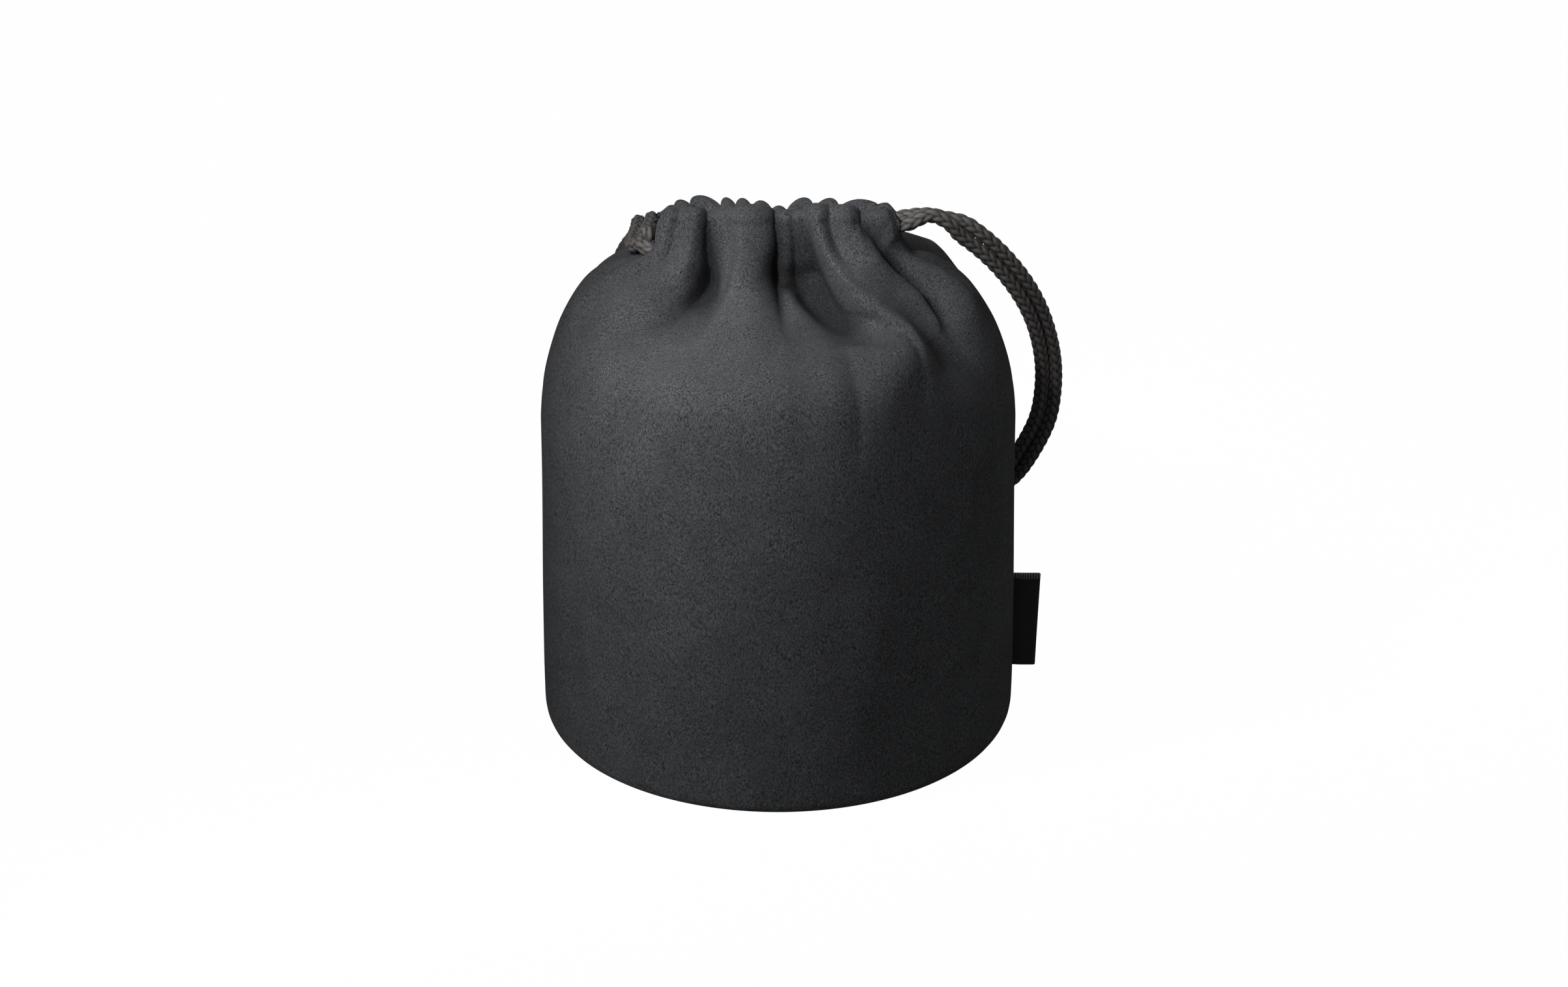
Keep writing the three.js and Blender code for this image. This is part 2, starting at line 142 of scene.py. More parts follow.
def mesh_piece(name, points, faces, material, uvs=None, normals=None, floats=None):
    """An object from points in millimetres, with smooth faces, and maps and normals given for each point."""
    mesh = bpy.data.meshes.new(name)
    mesh.from_pydata((np.asarray(points) * MM).tolist(), [], faces)
    mesh.polygons.foreach_set("use_smooth", [True] * len(mesh.polygons))
    corners = np.empty(len(mesh.loops), np.int32)
    mesh.loops.foreach_get("vertex_index", corners)
    if uvs is not None:
        layer = mesh.uv_layers.new(name="cloth_mm")
        layer.data.foreach_set("uv", np.asarray(uvs, np.float32)[corners].ravel())
    rest = mesh.attributes.new("rest_mm", "FLOAT_VECTOR", "POINT")
    rest.data.foreach_set("vector", np.asarray(points, np.float32).ravel())
    for key, values in (floats or {}).items():
        mesh.attributes.new(key, "FLOAT", "POINT").data.foreach_set("value", np.asarray(values, np.float32))
    if normals is not None:
        mesh.normals_split_custom_set_from_vertices(np.asarray(normals).tolist())
    mesh.materials.append(material)
    piece = bpy.data.objects.new(name, mesh)
    bpy.context.scene.collection.objects.link(piece)
    return piece


def turned_disc(name, profile, material, sides=96):
    """A round piece with its profile, (radius, height) pairs from the axis round to the axis."""
    turn = np.linspace(0, 2 * math.pi, sides, endpoint=False)
    rings = profile[1:-1]
    points = [(0, 0, profile[0][1]), (0, 0, profile[-1][1])]
    for radius, height in rings:
        points += [(radius * math.cos(a), radius * math.sin(a), height) for a in turn]
    at = lambda ring, side: 2 + ring * sides + side % sides
    faces = [(0, at(0, s + 1), at(0, s)) for s in range(sides)]
    for ring in range(len(rings) - 1):
        faces += [(at(ring, s), at(ring, s + 1), at(ring + 1, s + 1), at(ring + 1, s)) for s in range(sides)]
    faces += [(1, at(len(rings) - 1, s), at(len(rings) - 1, s + 1)) for s in range(sides)]
    return mesh_piece(name, points, faces, material, uvs=[p[:2] for p in points])


def rounded_edge(radius, low, high, corner, steps=6):
    """A disc's profile with both rims rounded, from the axis below to the axis above."""
    arc = [math.pi / 2 * i / steps for i in range(steps + 1)]
    under = [(radius - corner + corner * math.sin(a), low + corner - corner * math.cos(a)) for a in arc]
    over = [(radius - corner + corner * math.cos(a), high - corner + corner * math.sin(a)) for a in arc]
    rings = [radius * share for share in (0.25, 0.5, 0.75, 0.9)]
    middle_under = [(ring, low) for ring in rings if ring < radius - corner]
    middle_over = [(ring, high) for ring in reversed(rings) if ring < radius - corner]
    return [(0, low)] + middle_under + under + over + middle_over + [(0, high)]


suede = microfibre_suede()
base_disc = turned_disc("base_disc_cloth", rounded_edge(BASE_RADIUS, 0, BASE_THICKNESS, 0.5), suede)
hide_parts("base_disc")
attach(base_disc, "pouch")


# Base cushion: a disc of foam covered with brushed lining, lying on the base inside the pouch. Its rim is
# sewn thin and its middle stands up a little.
BASE_PAD_LOW = 1000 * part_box("base_pad")[0][2]
BASE_PAD_HIGH = 1000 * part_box("base_lining")[1][2]
BASE_PAD_RADIUS = 1000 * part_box("base_lining")[1][0]
CUSHION_EDGE, CUSHION_CROWN, CUSHION_SINK = 1.6, 0.9, 0.5
RIB_SPACING, PILE_SIZE = 0.35, 0.5


def brushed_lining():
    """Brushed tricot: a fine knit with its surface raised to a soft pile, in a lighter grey than the suede.
    The eye sees faint ribs of the knit, a third of a millimetre apart, under a dull bloom."""
    material, tree, shader = start_material("brushed_tricot")
    cloth = add_node(tree, "UVMap", uv_map="cloth_mm").outputs["UV"]
    ribs = add_node(tree, "TexWave", {
        "Vector": cloth, "Scale": 1 / (20 * RIB_SPACING) * 2 * math.pi, "Distortion": 1.5, "Detail": 2.0,
    }).outputs["Fac"]
    pile = add_node(tree, "TexNoise", {"Vector": cloth, "Scale": 1 / PILE_SIZE, "Detail": 4.0}).outputs["Fac"]
    knit = add_node(tree, "Mix", {"Factor": 0.6, "A": ribs, "B": pile}).outputs[0]
    set_inputs(tree, shader, {
        "Base Color": mixed_colour(tree, knit, "#3c3e41", "#5d6064"), "Normal": bumped(tree, knit, 0.4, 0.1),
        "Roughness": 0.9, "Sheen Weight": 0.2,
    })
    return material


lining = brushed_lining()
cushion_profile = []
for radius, height in rounded_edge(BASE_PAD_RADIUS, BASE_PAD_LOW, BASE_PAD_HIGH, CUSHION_EDGE):
    if height > (BASE_PAD_LOW + BASE_PAD_HIGH) / 2:
        height += CUSHION_CROWN * (1 - (radius / BASE_PAD_RADIUS) ** 2) - CUSHION_SINK
    cushion_profile.append((radius, height))
base_cushion = turned_disc("base_cushion", cushion_profile, lining)
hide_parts("base_pad", "base_lining")
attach(base_cushion, "pouch")


# Wall padding: two half rounds of foam, each wrapped in the same lining and sewn in at the side seams, which
# make the wall stand up straight. They swell a little between the seams.
PAD_OUTSIDE = 1000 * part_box("front_wall_foam")[1][0]
LINING_THICKNESS = 0.8
PAD_INSIDE = 1000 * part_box("front_wall_lining")[1][0] - LINING_THICKNESS
PAD_LOW, PAD_HIGH = (1000 * corner[2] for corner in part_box("front_wall_foam"))
PAD_SEAM_GAP, PAD_ROUNDING = 1.8, 0.35
PAD_SEAM_SHARE, PAD_SEAM_WIDTH, PAD_RIM_THINNING = 0.35, 6, 0.1


def tube_faces(rings, sides):
    """The faces of a tube made of rings of points, with both its ends closed."""
    at = np.arange(rings * sides).reshape(rings, sides)
    after = np.roll(at, -1, axis=1)
    faces = np.stack([at[:-1].ravel(), after[:-1].ravel(), after[1:].ravel(), at[1:].ravel()], 1).tolist()
    return faces + [at[0][::-1].tolist(), at[-1].tolist()]


def wall_pad(name, facing):
    """Half a round of padding: a rounded section swept from one side seam to the other."""
    columns, around = 97, 64
    middle_radius, half_thick = (PAD_OUTSIDE + PAD_INSIDE) / 2, (PAD_OUTSIDE - PAD_INSIDE) / 2
    middle_height, half_high = (PAD_LOW + PAD_HIGH) / 2, (PAD_HIGH - PAD_LOW) / 2
    loop = np.linspace(0, 2 * math.pi, around, endpoint=False)
    boxy = lambda value: np.sign(value) * np.abs(value) ** PAD_ROUNDING
    thick = half_thick * boxy(np.cos(loop))
    high = half_high * boxy(np.sin(loop))
    edge = math.asin(PAD_SEAM_GAP / middle_radius)
    points, uvs = [], []
    for angle in np.linspace(edge, math.pi - edge, columns):
        tuck = min(1.0, math.sin(angle) * middle_radius / PAD_SEAM_WIDTH)
        swell = PAD_SEAM_SHARE + (1 - PAD_SEAM_SHARE) * tuck ** 0.5
        for along, across in zip(high, thick):
            radius = middle_radius + across * swell * (1 - PAD_RIM_THINNING * (along / half_high) ** 4)
            points.append((radius * math.cos(angle), facing * radius * math.sin(angle), middle_height + along))
            uvs.append((angle * middle_radius, along + across))
    faces = tube_faces(columns, around)
    if facing > 0:
        faces = [face[::-1] for face in faces]
    return mesh_piece(name, points, faces, lining, uvs=uvs)


for half, facing in (("front", -1), ("back", 1)):
    pad = wall_pad(half + "_wall_padding", facing)
    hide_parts(half + "_wall_foam", half + "_wall_lining")
    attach(pad, "pouch")


# Body cloth: the front and the back are each one sheet of suede, sewn together at the sides. A sheet goes up
# the wall, leans in over the shoulder in folds, and is turned over at the rim as the casing for the cords.
# Each is made in a left and a right half.
BODY_RADIUS = 50.0
CLOTH_THICKNESS, HEM_THICKNESS = 1.1, 0.3
EDGE_RADIUS, EDGE_AT_SEAMS, EDGE_TUCK = 2.3, 1.4, 0.5
WALL_SWELL, SWELL_TOP, SWELL_FULL = 0.5, 62, 26
SHOULDER, CASING_FOOT, RIM = 70.0, 103.2, 114.4
MOUTH_HALF_WIDTH, MOUTH_DEPTH, MOUTH_SQUARENESS = 28.5, 7.5, 2.6
LEAN_POWER, RISE_POWER = 1.92, 0.808
RIGHT_EXIT_RISE, LEFT_EXIT_RISE, EXIT_NARROWING = 5.5, 1.2, 0.15
END_SLANT = [
    (100.5, 0), (103, 0.7), (105, 1.8), (107, 3.2), (109, 4.0), (111, 4.1), (113, 4.4), (116.3, 5.8), (118, 6.6),
]
PLEAT_ROUNDNESS, ROLL_START, ROLL_END = 0.75, 30, 56
UNEVENNESS = 0.16
SEAM_GROOVE, SEAM_GROOVE_WIDTH = 0.7, 1.3
VALLEY_DROP, END_DROP = 1.2, 1.0
RIM_ROUND = 3.2
HEM_LIFT, HEM_END_LIFT, CASING_ROOM = 0.8, 5.0, 1.8
CASING_FACE = [(CASING_FOOT, 7.5), (107, 6.7), (111, 5.8), (RIM, 4.9)]
FLAT_HALF_WIDTH = math.pi / 2 * BODY_RADIUS
COLUMNS = 241
MIDDLE_COLUMN = COLUMNS // 2
MIDDLE_PROFILE = [
    (1.0, 70), (1.0, 80), (1.0, 86), (0.99, 90), (0.96, 93), (0.9, 95.2), (0.8, 97), (0.67, 98.6), (0.52, 100.4),
    (0.38, 102.4), (0.27, 104.8), (0.18, 107.8), (0.12, 111), (0.075, RIM),
]
SEAM_PROFILE = [
    (1.0, 70), (0.965, 77), (0.87, 86), (0.775, 91), (0.67, 95.3), (0.6, 97.5), (0.5, 99.7), (0.39, 102),
    (0.27, 104.2), (0.165, 106.5), (0.1, 110), (0.075, RIM),
]
EDGE_ROWS, WALL_ROWS, SHOULDER_ROWS, CASING_ROWS, RIM_ROWS, HEM_ROWS = 8, 50, 90, 28, 14, 12


def between(low, high, value):
    """How far value has come from low to high, eased at both ends, from 0 to 1."""
    share = np.clip((value - low) / (high - low), 0, 1)
    return share * share * (3 - 2 * share)


def way_along(line):
    """The length of a line up to each of its points."""
    return np.concatenate([[0], np.cumsum(np.linalg.norm(np.diff(line, axis=0), axis=1))])


def even_line(points, step):
    """A smooth line through the points, cut into even steps of about the given length."""
    points = np.asarray(points, float)
    ends = np.concatenate([[2 * points[0] - points[1]], points, [2 * points[-1] - points[-2]]])
    fine = [points[:1]]
    for a, b, c, d in zip(ends, ends[1:], ends[2:], ends[3:]):
        knots = np.cumsum([0] + [max(np.linalg.norm(q - p) ** 0.5, 1e-6) for p, q in ((a, b), (b, c), (c, d))])
        t = np.linspace(knots[1], knots[2], 25)[1:, None]
        mix = lambda p, q, i, j: (
            (knots[j] - t) / (knots[j] - knots[i]) * p + (t - knots[i]) / (knots[j] - knots[i]) * q
        )
        ab, bc, cd = mix(a, b, 0, 1), mix(b, c, 1, 2), mix(c, d, 2, 3)
        fine.append(mix(mix(ab, bc, 0, 2), mix(bc, cd, 1, 3), 1, 2))
    fine = np.concatenate(fine)
    way = way_along(fine)
    marks = np.linspace(0, way[-1], max(2, round(way[-1] / step) + 1))
    return np.stack([np.interp(marks, way, fine[:, i]) for i in range(3)], 1)


def unit(vectors):
    """The vectors, each with a length of 1."""
    return vectors / np.linalg.norm(vectors, axis=-1, keepdims=True)


def mouth_line(across):
    """The mouth's outline in plan, for shares of the cloth's half width."""
    spread = 1.2
    x = MOUTH_HALF_WIDTH * np.sin(spread * across) / math.sin(spread)
    y = -MOUTH_DEPTH * (1 - np.minimum(np.abs(x / MOUTH_HALF_WIDTH), 1) ** MOUTH_SQUARENESS) ** (1 / MOUTH_SQUARENESS)
    return x, y


def along_profile(profile, span, shares):
    """The shares of the span and the heights at the given shares of the way up a profile."""
    line = even_line([(span * out, 0, height) for out, height in profile], 0.2)
    way = way_along(line)
    marks = shares * way[-1]
    return np.interp(marks, way, line[:, 0])[:, None] / span, np.interp(marks, way, line[:, 2])[:, None]


def shoulder_path(steps):
    """Leans from 0 to a quarter turn, spaced evenly along the middle of the shoulder, and the length there."""
    lean = np.linspace(0, math.pi / 2, 2001)
    out = MOUTH_DEPTH + (BODY_RADIUS - MOUTH_DEPTH) * np.abs(np.cos(lean)) ** LEAN_POWER
    rise = (CASING_FOOT - SHOULDER) * np.sin(lean) ** RISE_POWER
    way = np.concatenate([[0], np.cumsum(np.hypot(np.diff(out), np.diff(rise)))])
    return np.interp(np.linspace(0, way[-1], steps), way, lean), way[-1]


def bare_sheets(right):
    """The sheet as it would lie with all its cloth drawn in, and with all of it standing out, as two grids of
    points from the base seam to the rim, and each row's height above the shoulder measured along the cloth.
    The side seam stays open above the casing's foot for the cords, higher at the pouch's right end."""
    across = np.linspace(-1, 1, COLUMNS)
    round_x, round_y = np.sin(across * math.pi / 2), -np.cos(across * math.pi / 2)
    mouth_x, mouth_y = mouth_line(across)
    edge = EDGE_RADIUS + EDGE_AT_SEAMS * np.abs(across) ** 3
    exit_rise = np.where(right * across > 0, RIGHT_EXIT_RISE, LEFT_EXIT_RISE)
    exit_foot = CASING_FOOT + between(0.6, 1, np.abs(across)) * exit_rise
    exit_depth = 1 - EXIT_NARROWING * between(0.8, 1, np.abs(across))
    wall, ups = [], []
    ring = lambda radius, height: np.stack([radius * round_x, radius * round_y, height], 1)
    for turn in np.linspace(-EDGE_TUCK, math.pi / 2, EDGE_ROWS + 1)[:-1]:
        radius = BODY_RADIUS + WALL_SWELL - edge * (1 - math.sin(turn))
        height = np.maximum(edge * (1 - math.cos(turn)), 0.05)
        wall.append(ring(radius, height))
        ups.append(EDGE_RADIUS * turn - SHOULDER)
    for share in np.linspace(0, 1, WALL_ROWS)[:-1]:
        height = edge + (SHOULDER - edge) * share
        radius = BODY_RADIUS + WALL_SWELL * between(SWELL_TOP, SWELL_FULL, height)
        wall.append(ring(radius, height))
        ups.append((EDGE_RADIUS - SHOULDER) * (1 - share))

    def upper(outs, heights):
        rows = []
        for out, height in zip(outs, heights):
            height = height + np.zeros(COLUMNS)
            face = np.interp(height, *zip(*CASING_FACE))
            y = mouth_y + (-face * exit_depth - mouth_y) * between(exit_foot, exit_foot + 5, height)
            rows.append(np.stack([
                mouth_x + (BODY_RADIUS * round_x - mouth_x) * out,
                y + (BODY_RADIUS * round_y - mouth_y) * out,
                height,
            ], 1))
        return rows

    leans, shoulder_length = shoulder_path(SHOULDER_ROWS)
    outs = np.concatenate([np.abs(np.cos(leans)) ** LEAN_POWER, np.zeros(CASING_ROWS - 1)])
    heights = np.concatenate([
        SHOULDER + (CASING_FOOT - SHOULDER) * np.sin(leans) ** RISE_POWER,
        np.linspace(CASING_FOOT, RIM, CASING_ROWS)[1:],
    ])
    drawn_in = wall + upper(outs, heights)
    way = np.concatenate([
        np.linspace(0, shoulder_length, SHOULDER_ROWS),
        shoulder_length + np.linspace(0, RIM - CASING_FOOT, CASING_ROWS)[1:],
    ])
    middle_outs, middle_heights = along_profile(MIDDLE_PROFILE, BODY_RADIUS - MOUTH_DEPTH, way / way[-1])
    seam_outs, seam_heights = along_profile(SEAM_PROFILE, BODY_RADIUS - MOUTH_HALF_WIDTH, way / way[-1])
    to_seam = between(0.2, 0.8, np.abs(across))
    standing = wall + upper(
        middle_outs + (seam_outs - middle_outs) * to_seam, middle_heights + (seam_heights - middle_heights) * to_seam
    )
    return np.array(drawn_in), np.array(standing), np.concatenate([ups, way]), shoulder_length


def grid_normals(points):
    """Unit normals of a grid of points, outwards for a sheet that runs left to right and upwards."""
    normals = np.cross(np.gradient(points, axis=1), np.gradient(points, axis=0))
    return normals / np.maximum(np.linalg.norm(normals, axis=2, keepdims=True), 1e-9)


def lobes(across, ups, valleys, crests):
    """How far the cloth stands out, from 0 to 1, in rounded pleats between valley lines. A valley is (floor
    above, floor below, from, to, line) and a crest (height above, height below, from, to, lean): the change
    from below to above is made between the two heights, and a lean rolls a pleat's top over sideways."""
    level = np.zeros((len(ups), len(across)))
    roll = np.zeros_like(level)
    lines = [np.interp(ups, *zip(*sorted(line))) for *_, line in valleys]
    rising = lambda above, below, low, high: below + (above - below) * between(low, high, ups)
    floors = [rising(*values) for *values, _ in valleys]
    for i, (*values, lean) in enumerate(crests):
        left, right = lines[i][:, None], lines[i + 1][:, None]
        share = (across[None, :] - left) / np.maximum(right - left, 1e-6)
        inside = (share >= 0) & (share <= 1)
        share = np.clip(share, 0, 1)
        ground = floors[i][:, None] + (floors[i + 1] - floors[i])[:, None] * share * share * (3 - 2 * share)
        hump = np.sin(math.pi * share) ** PLEAT_ROUNDNESS
        level = np.where(inside, ground + (rising(*values)[:, None] - ground) * hump, level)
        roll = np.where(inside, lean * between(ROLL_START, ROLL_END, ups)[:, None] * hump, roll)
    return level, roll


def long_folds(across, ups, surface, folds):
    """Ridges and hollows that run down the shoulder. Each is (left width, right width, line), where the line's
    points are (up, across, height) on the flat cloth, and the widths say how far it falls off on each side."""
    level = np.zeros((len(ups), len(across)))
    to_row = lambda up: np.interp(up, ups, np.arange(len(ups)))
    to_column = lambda x: np.interp(x, across, np.arange(len(across)))
    for left_width, right_width, line in folds:
        ways = np.linspace(0, len(line) - 1, 12 * len(line))
        up, over, height = (np.interp(ways, np.arange(len(line)), [p[i] for p in line]) for i in range(3))
        row, column = to_row(up), to_column(over)
        low_row = np.minimum(row.astype(int), len(ups) - 2)
        low_column = np.minimum(column.astype(int), len(across) - 2)
        a, b = (row - low_row)[:, None], (column - low_column)[:, None]
        spots = (
            surface[low_row, low_column] * (1 - a) * (1 - b) + surface[low_row, low_column + 1] * (1 - a) * b
            + surface[low_row + 1, low_column] * a * (1 - b) + surface[low_row + 1, low_column + 1] * a * b
        )
        nearest = np.full(level.shape, np.inf)
        tall = np.zeros_like(level)
        right = np.zeros(level.shape, bool)
        for spot, height_here, over_here in zip(spots, height, over):
            away = np.sum((surface - spot) ** 2, axis=2)
            closer = away < nearest
            nearest = np.where(closer, away, nearest)
            tall = np.where(closer, height_here, tall)
            right = np.where(closer, across[None, :] > over_here, right)
        width = np.where(right, right_width, left_width)
        level += tall * np.exp(-nearest / width ** 2)
    return level


def smoothed(points, passes, share=0.5):
    """The grid with each inner point moved part of the way to the middle of its four neighbours."""
    points = points.copy()
    for _ in range(passes):
        middle = (points[2:, 1:-1] + points[:-2, 1:-1] + points[1:-1, 2:] + points[1:-1, :-2]) / 4
        points[1:-1, 1:-1] += share * (middle - points[1:-1, 1:-1])
    return points


def gathered_sheet(valleys, crests, folds, lowered, right):
    """The whole folded sheet, front facing, from the base seam over the rim to the hem inside the mouth. The
    casing's ends are cut on a slant, further in at the rim."""
    drawn_in, standing, ups, foot = bare_sheets(right)
    across = np.linspace(-FLAT_HALF_WIDTH, FLAT_HALF_WIDTH, COLUMNS)
    normals = grid_normals(standing)
    for _ in range(30):
        normals[1:-1] = (normals[:-2] + 2 * normals[1:-1] + normals[2:]) / 4
    normals = unit(normals)
    sideways = unit(np.gradient(standing, axis=1))
    out, roll = lobes(across, ups, valleys, crests)
    level = long_folds(across, ups, standing, folds)
    uneven = (
        np.sin(across / 11 + 0.8 * np.sin(ups[:, None] / 17))
        + np.sin(ups[:, None] / 13 + across / 23 + 1.7)
        + np.sin(across / 6.1 - ups[:, None] / 9 + 0.4)
    )
    level += UNEVENNESS * uneven * between(-SHOULDER, -SHOULDER + 12, ups)[:, None]
    at_seam = np.abs(across) / FLAT_HALF_WIDTH
    in_casing = between(foot + 1, foot + 6, ups)[:, None]
    level *= 1 - at_seam ** 14 * (1 - in_casing)
    level -= SEAM_GROOVE * np.exp(-((1 - at_seam) * FLAT_HALF_WIDTH / SEAM_GROOVE_WIDTH) ** 2) * (1 - in_casing)
    folded = drawn_in + (standing - drawn_in) * out[..., None]
    folded = folded + normals * level[..., None] + sideways * roll[..., None]
    folded = smoothed(folded, 3)

    hump = np.clip((out[-1] - out[-1].min()) / np.ptp(out[-1]), 0, 1)
    drop = lowered + VALLEY_DROP * (1 - hump) ** 1.5 + END_DROP * between(0.8, 1, at_seam)
    folded[..., 2] -= drop * between(foot + 3, ups[-1], ups)[:, None]
    x, rim_y, rim_z = folded[-1].T
    off_seam = 1 - between(0.7, 1, at_seam)
    inner_y = np.minimum(-0.5 - 1.2 * out[-1] * off_seam, -0.35)
    reach = (inner_y - rim_y) / 2
    rows = [folded]
    for turn in np.linspace(0, math.pi, RIM_ROWS + 1)[1:]:
        y = rim_y + reach * (1 - math.cos(turn))
        z = rim_z + np.minimum(reach, RIM_ROUND) * math.sin(turn)
        rows.append(np.stack([x, y, z], 1)[None])
    hem_low = CASING_FOOT + HEM_LIFT + HEM_END_LIFT * between(0.75, 1, at_seam)
    casing = folded[-CASING_ROWS:]
    for share in np.linspace(0, 1, HEM_ROWS + 1)[1:]:
        z = rim_z + (hem_low - rim_z) * share
        outside = np.array([np.interp(z[c], casing[:, c, 2], casing[:, c, 1]) for c in range(COLUMNS)])
        y = np.maximum(inner_y - share * off_seam, outside + CASING_ROOM)
        rows.append(np.stack([x, y, z], 1)[None])
    whole = np.concatenate(rows)
    slant = np.interp(whole[..., 2], *zip(*END_SLANT)) * np.clip((np.abs(whole[..., 0]) - 10) / 19, 0, 1.1) ** 2
    whole[..., 0] -= np.sign(whole[..., 0]) * slant
    return whole


def fold_depths(points):
    """How far each point lies below the cloth around it, in millimetres. The cloth around is the mean over some
    columns and rows of the grid to each side, taken twice."""
    around = points
    columns_near, rows_near = (1, 22), (0, 6)
    for axis, reach in (columns_near, columns_near, rows_near, rows_near):
        edges = [(0, 0)] * 3
        edges[axis] = (reach + 1, reach)
        sums = np.cumsum(np.pad(around, edges, mode="edge"), axis=axis)
        span = 2 * reach + 1
        count = points.shape[axis]
        high = np.take(sums, range(span, span + count), axis=axis)
        around = (high - np.take(sums, range(count), axis=axis)) / span
    return np.maximum(np.sum((around - points) * grid_normals(around), axis=2), 0)


def skin_faces(rows, columns):
    """The faces of a closed skin: an outer grid of points, the inner grid that follows it, and the four edges."""
    out = np.arange(rows * columns).reshape(rows, columns)
    inn = out + rows * columns
    quads = lambda a, b, c, d: np.stack([a.ravel(), b.ravel(), c.ravel(), d.ravel()], 1)
    return np.concatenate([
        quads(out[:-1, :-1], out[:-1, 1:], out[1:, 1:], out[1:, :-1]),
        quads(inn[:-1, :-1], inn[1:, :-1], inn[1:, 1:], inn[:-1, 1:]),
        quads(out[:-1, 0], out[1:, 0], inn[1:, 0], inn[:-1, 0]),
        quads(out[:-1, -1], inn[:-1, -1], inn[1:, -1], out[1:, -1]),
        quads(out[0, :-1], inn[0, :-1], inn[0, 1:], out[0, 1:]),
        quads(out[-1, :-1], out[-1, 1:], inn[-1, 1:], inn[-1, :-1]),
    ]).tolist()


def sheet_half(name, points, first, last):
    """One half of a sheet, columns first to last, as a closed skin of the cloth's thickness, pared down where it
    is turned in at the hem."""
    normals = grid_normals(points)
    turned = HEM_ROWS + RIM_ROWS
    thickness = np.full((len(points), 1, 1), CLOTH_THICKNESS)
    thickness[-turned:, 0, 0] = np.linspace(CLOTH_THICKNESS, HEM_THICKNESS, turned)
    thickness[-HEM_ROWS:] = HEM_THICKNESS
    inside = points - thickness * normals
    lengths = lambda axis: np.cumsum(np.linalg.norm(np.diff(points, axis=axis), axis=2), axis=axis)
    u = np.pad(lengths(1), ((0, 0), (1, 0)))
    u -= u[:, MIDDLE_COLUMN:MIDDLE_COLUMN + 1]
    v = np.pad(lengths(0), ((1, 0), (0, 0)))
    part = slice(first, last + 1)
    both = lambda outer, inner: np.concatenate([outer[:, part].reshape(-1, 3), inner[:, part].reshape(-1, 3)])
    flat = np.stack([u[:, part].ravel(), v[:, part].ravel()], 1)
    # The fold depth darkens the suede's colour in the folds: painted shade.
    depths = fold_depths(points)[:, part].ravel()
    return mesh_piece(
        name, both(points, inside), skin_faces(len(points), last + 1 - first), suede, uvs=np.tile(flat, (2, 1)),
        normals=both(normals, -normals), floats={"fold_depth": np.append(depths, np.zeros_like(depths))},
    )


LEFT_SEAM, RIGHT_SEAM = (
    (0.5, 0.5, 50, 60, [(0, side * FLAT_HALF_WIDTH), (72, side * FLAT_HALF_WIDTH)]) for side in (-1, 1)
)
FRONT_VALLEYS = [
    LEFT_SEAM,
    (0.3, 0.9, 54, 66, [
        (74, -51.5), (70.6, -52.4), (67.3, -55), (62.6, -55), (59.8, -54.6), (57.3, -56.3), (52, -58),
    ]),
    (-0.1, 0.8, 36, 60, [
        (74, -30), (70.6, -31.5), (69, -34), (64, -34), (60.3, -32.1), (56, -31), (45, -32), (38, -32),
    ]),
    (-0.08, 0.92, 36, 54, [
        (69.6, -2), (66.8, -1.3), (64, -1.3), (60.3, -3), (57.3, -2.6), (52.8, -0.7), (46.2, 1.3), (40, 2.5),
    ]),
    (-0.2, 0.7, 32, 50, [(70.6, 6), (63, 7.5), (58, 8), (50, 10.5), (40, 17)]),
    (-0.2, 0.75, 26, 52, [
        (69.2, 12), (64.5, 15), (61, 17.6), (58.5, 19), (55, 20.6), (51.5, 22.2), (48.2, 24), (43.6, 28.5),
        (39.1, 31.8), (35.8, 33.6),
    ]),
    (0.3, 0.95, 58, 66, [(74, 19), (70.6, 20.8), (69.2, 22.4), (64.5, 24.6), (61.7, 26.4), (55, 33), (45, 45)]),
    (0.4, 0.8, 36, 66, [
        (74, 32), (70.6, 36), (68.7, 40.2), (64.5, 49.9), (58.9, 57.5), (50.2, 58.5), (41.7, 56.5), (37.1, 54),
    ]),
    RIGHT_SEAM,
]
FRONT_CRESTS = [
    (0.9, 0.9, 50, 60, 0.0), (1.1, 1.0, 50, 60, 2.0), (1.15, 1.0, 50, 60, 2.6), (0.0, 0.85, 34, 52, 0.0),
    (-0.14, 0.8, 32, 50, 0.0), (0.95, 1.0, 50, 60, -0.5), (1.05, 1.0, 50, 60, 0.0), (0.85, 0.9, 50, 60, 0.0),
]
